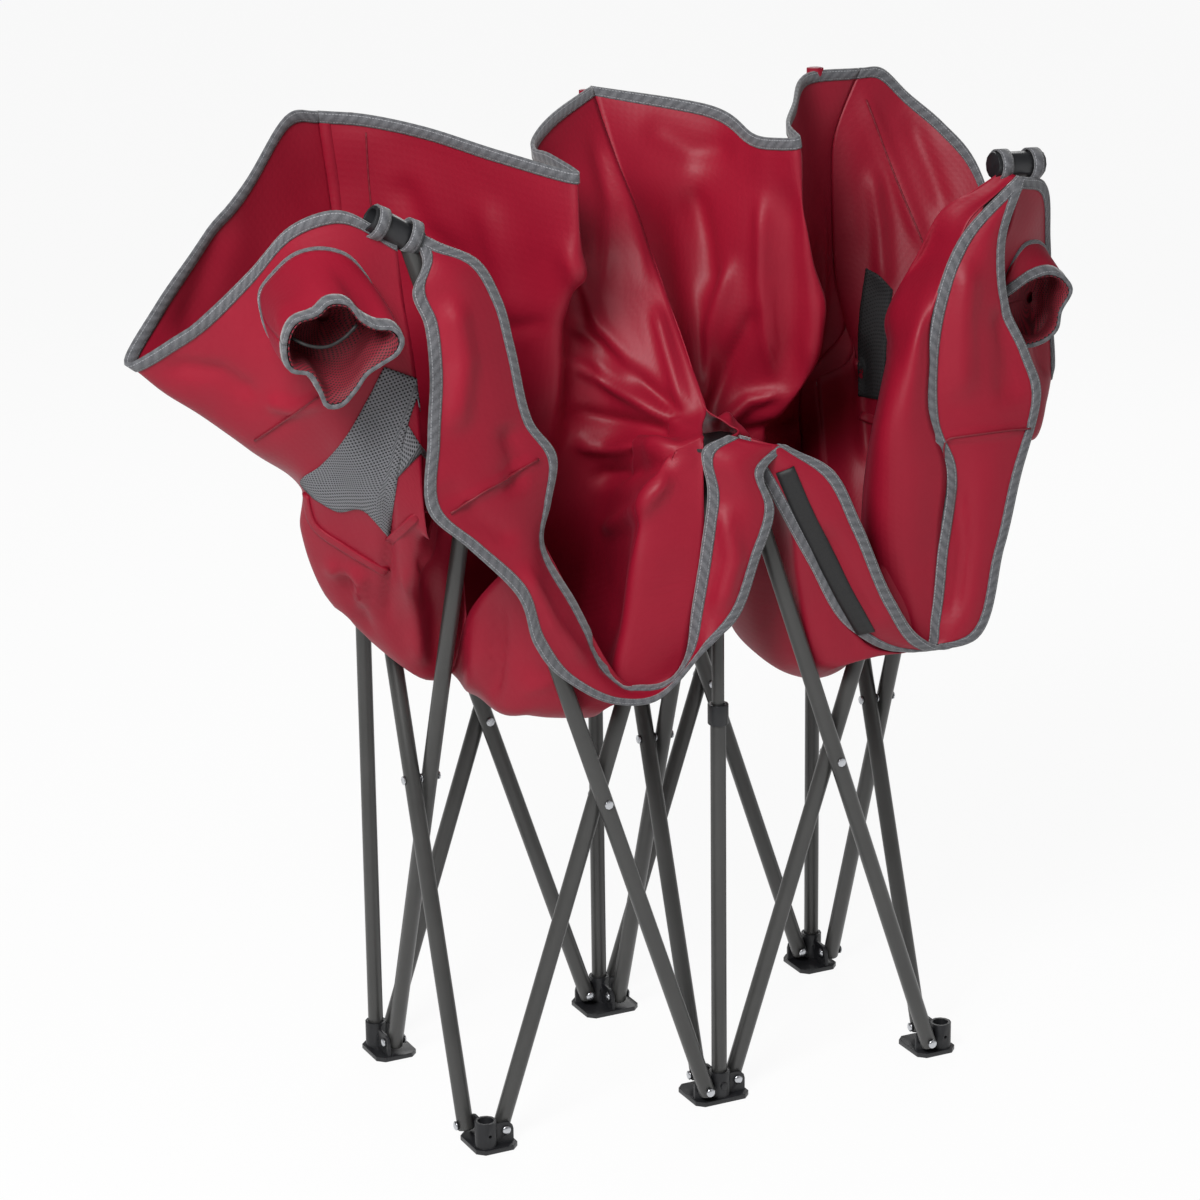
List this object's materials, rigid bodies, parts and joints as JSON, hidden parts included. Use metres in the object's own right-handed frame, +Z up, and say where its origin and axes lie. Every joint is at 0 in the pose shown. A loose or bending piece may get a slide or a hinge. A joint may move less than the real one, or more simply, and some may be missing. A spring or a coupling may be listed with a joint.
{
  "type": "folding camping loveseat",
  "caption": "Folding loveseat with a scissor frame of steel tubes, moulded feet and sliding hubs, back posts, and a slung cloth seat with side panels and cup holders, stored half folded.",
  "frame": {"origin": "on the floor under the front centre post", "axes": "+Z up, +Y from the front of the seat to its back, +X towards the right of the picture"},
  "size_m": [0.9827, 0.3548, 0.9552],
  "materials": {
    "leg_steel": "charcoal powder coat",
    "moulding": "black nylon moulding",
    "rivet_zinc": "zinc plated",
    "cloth": "crimson woven polyester",
    "air_mesh": "grey knitted mesh",
    "webbing": "black woven webbing"
  },
  "bodies": {
    "front_centre_foot": {"foot_front_centre": "moulding", "support_tube": "leg_steel", "support_collar": "moulding"},
    "leg_front_centre_to_front_left": {"leg_front_centre_to_front_left": "leg_steel", "rivet_front_left": "rivet_zinc", "arm_cap_left": "moulding", "cup_holder_left": "cloth"},
    "leg_front_centre_to_front_right": {"leg_front_centre_to_front_right": "leg_steel", "rivet_front_right": "rivet_zinc", "arm_cap_right": "moulding", "cup_holder_right": "cloth"},
    "leg_front_centre_to_rear_centre": {"leg_front_centre_to_rear_centre": "leg_steel", "rivet_side_centre": "rivet_zinc"},
    "leg_front_left_to_front_centre": {"leg_front_left_to_front_centre": "leg_steel"},
    "front_left_hub": {"hub_front_left": "moulding"},
    "front_left_foot": {"foot_front_left": "moulding"},
    "leg_front_right_to_front_centre": {"leg_front_right_to_front_centre": "leg_steel"},
    "front_right_hub": {"hub_front_right": "moulding"},
    "front_right_foot": {"foot_front_right": "moulding"},
    "leg_rear_centre_to_front_centre": {"leg_rear_centre_to_front_centre": "leg_steel"},
    "rear_centre_hub": {"hub_rear_centre": "moulding"},
    "rear_centre_foot": {"foot_rear_centre": "moulding", "back_post_centre": "leg_steel", "back_panel_left": "cloth", "back_panel_right": "cloth"},
    "front_centre_hub": {"hub_front_centre": "moulding", "support_slide": "leg_steel", "seat_panel_left": "cloth", "seat_panel_right": "cloth", "front_band_left": "cloth", "front_band_right": "cloth", "front_webbing": "webbing"},
    "leg_front_left_to_rear_left": {"leg_front_left_to_rear_left": "leg_steel", "rivet_side_left": "rivet_zinc"},
    "leg_rear_left_to_front_left": {"leg_rear_left_to_front_left": "leg_steel"},
    "rear_left_hub": {"hub_rear_left": "moulding"},
    "rear_left_foot": {"foot_rear_left": "moulding", "back_post_left": "leg_steel", "side_panel_left": "cloth", "side_mesh_left": "air_mesh", "side_pocket_left": "cloth"},
    "leg_front_right_to_rear_right": {"leg_front_right_to_rear_right": "leg_steel", "rivet_side_right": "rivet_zinc"},
    "leg_rear_right_to_front_right": {"leg_rear_right_to_front_right": "leg_steel"},
    "rear_right_hub": {"hub_rear_right": "moulding"},
    "rear_right_foot": {"foot_rear_right": "moulding", "back_post_right": "leg_steel", "side_panel_right": "cloth", "side_mesh_right": "air_mesh", "side_pocket_right": "cloth"},
    "leg_rear_centre_to_rear_left": {"leg_rear_centre_to_rear_left": "leg_steel", "rivet_rear_left": "rivet_zinc"},
    "leg_rear_left_to_rear_centre": {"leg_rear_left_to_rear_centre": "leg_steel"},
    "leg_rear_centre_to_rear_right": {"leg_rear_centre_to_rear_right": "leg_steel", "rivet_rear_right": "rivet_zinc"},
    "leg_rear_right_to_rear_centre": {"leg_rear_right_to_rear_centre": "leg_steel"}
  },
  "joints": [
    {"name": "fold", "type": "hinge", "parent": "front_centre_foot", "child": "leg_front_centre_to_front_left", "pos_m": [-0.019, -0.009, 0.017], "axis": [0, 1, 0], "range_deg": [-33, 15], "deforming": ["back_panel_left", "back_panel_right", "seat_panel_left", "seat_panel_right", "side_panel_left", "side_panel_right", "side_mesh_left", "side_mesh_right", "side_pocket_left", "side_pocket_right", "front_band_left", "front_band_right", "front_webbing"]},
    {"name": "pivot_front_centre_to_front_right", "type": "hinge", "parent": "front_centre_foot", "child": "leg_front_centre_to_front_right", "pos_m": [0.019, 0.009, 0.017], "axis": [0, -1, 0], "range_deg": [-33, 15]},
    {"name": "pivot_front_centre_to_rear_centre", "type": "hinge", "parent": "front_centre_foot", "child": "leg_front_centre_to_rear_centre", "pos_m": [-0.009, 0.0275, 0.017], "axis": [1, 0, 0], "range_deg": [-33, 15]},
    {"name": "cross_front_left_to_front_centre", "type": "hinge", "parent": "leg_front_centre_to_front_left", "child": "leg_front_left_to_front_centre", "pos_m": [-0.1245, 0, 0.33232], "axis": [0, -1, 0], "range_deg": [-66, 30]},
    {"name": "pivot_front_left_hub", "type": "hinge", "parent": "leg_front_centre_to_front_left", "child": "front_left_hub", "pos_m": [-0.23001, -0.009, 0.64764], "axis": [0, -1, 0], "range_deg": [-33, 15]},
    {"name": "pivot_front_left_foot", "type": "hinge", "parent": "leg_front_left_to_front_centre", "child": "front_left_foot", "pos_m": [-0.23001, 0.009, 0.017], "axis": [0, 1, 0], "range_deg": [-33, 15]},
    {"name": "cross_front_right_to_front_centre", "type": "hinge", "parent": "leg_front_centre_to_front_right", "child": "leg_front_right_to_front_centre", "pos_m": [0.1245, 0, 0.33232], "axis": [0, 1, 0], "range_deg": [-66, 30]},
    {"name": "pivot_front_right_hub", "type": "hinge", "parent": "leg_front_centre_to_front_right", "child": "front_right_hub", "pos_m": [0.23001, 0.009, 0.64764], "axis": [0, 1, 0], "range_deg": [-33, 15]},
    {"name": "pivot_front_right_foot", "type": "hinge", "parent": "leg_front_right_to_front_centre", "child": "front_right_foot", "pos_m": [0.23001, -0.009, 0.017], "axis": [0, -1, 0], "range_deg": [-33, 15]},
    {"name": "cross_rear_centre_to_front_centre", "type": "hinge", "parent": "leg_front_centre_to_rear_centre", "child": "leg_rear_centre_to_front_centre", "pos_m": [0, 0.133, 0.33232], "axis": [-1, 0, 0], "range_deg": [-66, 30]},
    {"name": "pivot_rear_centre_hub", "type": "hinge", "parent": "leg_front_centre_to_rear_centre", "child": "rear_centre_hub", "pos_m": [-0.009, 0.23851, 0.64764], "axis": [-1, 0, 0], "range_deg": [-33, 15]},
    {"name": "pivot_rear_centre_foot", "type": "hinge", "parent": "leg_rear_centre_to_front_centre", "child": "rear_centre_foot", "pos_m": [0.009, 0.23851, 0.017], "axis": [1, 0, 0], "range_deg": [-33, 15]},
    {"name": "pivot_front_centre_hub", "type": "hinge", "parent": "leg_rear_centre_to_front_centre", "child": "front_centre_hub", "pos_m": [0.009, 0.0275, 0.64764], "axis": [1, 0, 0], "range_deg": [-33, 15]},
    {"name": "pivot_front_left_to_rear_left", "type": "hinge", "parent": "front_left_foot", "child": "leg_front_left_to_rear_left", "pos_m": [-0.25901, 0.0275, 0.017], "axis": [1, 0, 0], "range_deg": [-33, 15]},
    {"name": "cross_rear_left_to_front_left", "type": "hinge", "parent": "leg_front_left_to_rear_left", "child": "leg_rear_left_to_front_left", "pos_m": [-0.25001, 0.133, 0.33232], "axis": [-1, 0, 0], "range_deg": [-66, 30]},
    {"name": "pivot_rear_left_hub", "type": "hinge", "parent": "leg_front_left_to_rear_left", "child": "rear_left_hub", "pos_m": [-0.25901, 0.23851, 0.64764], "axis": [-1, 0, 0], "range_deg": [-33, 15]},
    {"name": "pivot_rear_left_foot", "type": "hinge", "parent": "leg_rear_left_to_front_left", "child": "rear_left_foot", "pos_m": [-0.24101, 0.23851, 0.017], "axis": [1, 0, 0], "range_deg": [-33, 15]},
    {"name": "pivot_front_right_to_rear_right", "type": "hinge", "parent": "front_right_foot", "child": "leg_front_right_to_rear_right", "pos_m": [0.24101, 0.0275, 0.017], "axis": [1, 0, 0], "range_deg": [-33, 15]},
    {"name": "cross_rear_right_to_front_right", "type": "hinge", "parent": "leg_front_right_to_rear_right", "child": "leg_rear_right_to_front_right", "pos_m": [0.25001, 0.133, 0.33232], "axis": [-1, 0, 0], "range_deg": [-66, 30]},
    {"name": "pivot_rear_right_hub", "type": "hinge", "parent": "leg_front_right_to_rear_right", "child": "rear_right_hub", "pos_m": [0.24101, 0.23851, 0.64764], "axis": [-1, 0, 0], "range_deg": [-33, 15]},
    {"name": "pivot_rear_right_foot", "type": "hinge", "parent": "leg_rear_right_to_front_right", "child": "rear_right_foot", "pos_m": [0.25901, 0.23851, 0.017], "axis": [1, 0, 0], "range_deg": [-33, 15]},
    {"name": "pivot_rear_centre_to_rear_left", "type": "hinge", "parent": "rear_centre_foot", "child": "leg_rear_centre_to_rear_left", "pos_m": [-0.019, 0.25701, 0.017], "axis": [0, 1, 0], "range_deg": [-33, 15]},
    {"name": "cross_rear_left_to_rear_centre", "type": "hinge", "parent": "leg_rear_centre_to_rear_left", "child": "leg_rear_left_to_rear_centre", "pos_m": [-0.1245, 0.26601, 0.33232], "axis": [0, -1, 0], "range_deg": [-66, 30]},
    {"name": "pivot_rear_centre_to_rear_right", "type": "hinge", "parent": "rear_centre_foot", "child": "leg_rear_centre_to_rear_right", "pos_m": [0.019, 0.27501, 0.017], "axis": [0, -1, 0], "range_deg": [-33, 15]},
    {"name": "cross_rear_right_to_rear_centre", "type": "hinge", "parent": "leg_rear_centre_to_rear_right", "child": "leg_rear_right_to_rear_centre", "pos_m": [0.1245, 0.26601, 0.33232], "axis": [0, 1, 0], "range_deg": [-66, 30]}
  ],
  "couplings": [
    {"joint": "pivot_front_centre_to_front_right", "follows": "fold", "ratio": 1},
    {"joint": "pivot_front_centre_to_rear_centre", "follows": "fold", "ratio": 1},
    {"joint": "cross_front_left_to_front_centre", "follows": "fold", "ratio": 2},
    {"joint": "pivot_front_left_hub", "follows": "fold", "ratio": 1},
    {"joint": "pivot_front_left_foot", "follows": "fold", "ratio": 1},
    {"joint": "cross_front_right_to_front_centre", "follows": "fold", "ratio": 2},
    {"joint": "pivot_front_right_hub", "follows": "fold", "ratio": 1},
    {"joint": "pivot_front_right_foot", "follows": "fold", "ratio": 1},
    {"joint": "cross_rear_centre_to_front_centre", "follows": "fold", "ratio": 2},
    {"joint": "pivot_rear_centre_hub", "follows": "fold", "ratio": 1},
    {"joint": "pivot_rear_centre_foot", "follows": "fold", "ratio": 1},
    {"joint": "pivot_front_centre_hub", "follows": "fold", "ratio": 1},
    {"joint": "pivot_front_left_to_rear_left", "follows": "fold", "ratio": 1},
    {"joint": "cross_rear_left_to_front_left", "follows": "fold", "ratio": 2},
    {"joint": "pivot_rear_left_hub", "follows": "fold", "ratio": 1},
    {"joint": "pivot_rear_left_foot", "follows": "fold", "ratio": 1},
    {"joint": "pivot_front_right_to_rear_right", "follows": "fold", "ratio": 1},
    {"joint": "cross_rear_right_to_front_right", "follows": "fold", "ratio": 2},
    {"joint": "pivot_rear_right_hub", "follows": "fold", "ratio": 1},
    {"joint": "pivot_rear_right_foot", "follows": "fold", "ratio": 1},
    {"joint": "pivot_rear_centre_to_rear_left", "follows": "fold", "ratio": 1},
    {"joint": "cross_rear_left_to_rear_centre", "follows": "fold", "ratio": 2},
    {"joint": "pivot_rear_centre_to_rear_right", "follows": "fold", "ratio": 1},
    {"joint": "cross_rear_right_to_rear_centre", "follows": "fold", "ratio": 2}
  ]
}
